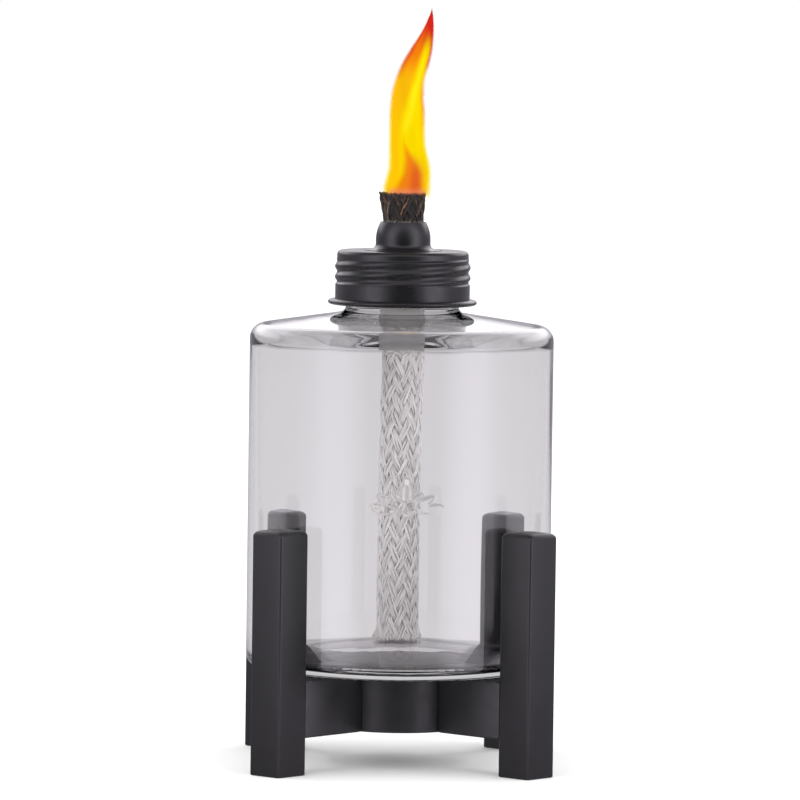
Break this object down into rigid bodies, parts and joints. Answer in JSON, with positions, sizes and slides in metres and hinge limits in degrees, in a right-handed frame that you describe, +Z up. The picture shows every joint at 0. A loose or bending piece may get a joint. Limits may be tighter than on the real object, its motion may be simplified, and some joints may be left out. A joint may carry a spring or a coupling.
{
  "type": "table torch",
  "caption": "Table torch: a clear glass fuel bottle with a screw cap, domed wick holder and braided wick, resting in a black wooden stand of square posts and crossed arms.",
  "frame": {"origin": "on the surface that the feet stand on, at the bottle's axis", "axes": "+Z up along the bottle's axis; -Y looks into the gap between the two front posts, +X to that viewer's right"},
  "size_m": [0.0878, 0.0878, 0.2183],
  "materials": {
    "stand_paint": "satin",
    "bare_wood": "matte",
    "clear_glass": "polished",
    "cap_paint": "satin",
    "tinned_steel": "satin",
    "liner_foam": "matte",
    "glass_fibre_braid": "matte",
    "glass_fibre_yarn": "matte",
    "flame_glow": "matte"
  },
  "bodies": {
    "stand": {"hub": "stand_paint", "arm_front_left": "stand_paint", "arm_front_right": "stand_paint", "arm_back_right": "stand_paint", "arm_back_left": "stand_paint", "post_front_left": "stand_paint", "post_front_right": "stand_paint", "post_back_right": "stand_paint", "post_back_left": "stand_paint", "hub_dowel_front_left_lower": "bare_wood", "hub_dowel_front_left_upper": "bare_wood", "hub_dowel_front_right_lower": "bare_wood", "hub_dowel_front_right_upper": "bare_wood", "hub_dowel_back_right_lower": "bare_wood", "hub_dowel_back_right_upper": "bare_wood", "hub_dowel_back_left_lower": "bare_wood", "hub_dowel_back_left_upper": "bare_wood", "post_dowel_front_left_lower": "bare_wood", "post_dowel_front_left_upper": "bare_wood", "post_dowel_front_right_lower": "bare_wood", "post_dowel_front_right_upper": "bare_wood", "post_dowel_back_right_lower": "bare_wood", "post_dowel_back_right_upper": "bare_wood", "post_dowel_back_left_lower": "bare_wood", "post_dowel_back_left_upper": "bare_wood"},
    "bottle": {"glass_bottle": "clear_glass"},
    "liner": {"cap_liner": "liner_foam"},
    "cap": {"cap_shell": "cap_paint", "wick_dome": "cap_paint", "crimp_ring": "tinned_steel", "wick_sleeve": "tinned_steel"},
    "wick": {"wick_jacket": "glass_fibre_braid", "wick_core": "glass_fibre_yarn", "flame": "flame_glow"}
  },
  "joints": [
    {"name": "bottle_lift", "type": "slide", "parent": "stand", "child": "bottle", "axis": [0, 0, 1], "range_m": [0, 0.05]},
    {"name": "cap_rise", "type": "slide", "parent": "bottle", "child": "liner", "axis": [0, 0, 1], "range_m": [0, 0.0061]},
    {"name": "cap_turn", "type": "hinge", "parent": "liner", "child": "cap", "pos_m": [0, 0, 0.14635], "axis": [0, 0, 1], "range_deg": [0, 360]},
    {"name": "wick_feed", "type": "slide", "parent": "cap", "child": "wick", "axis": [0, 0, 1], "range_m": [0, 0.02]}
  ],
  "couplings": [
    {"joint": "cap_rise", "follows": "cap_turn", "m_per_rad": 0.00095493}
  ]
}
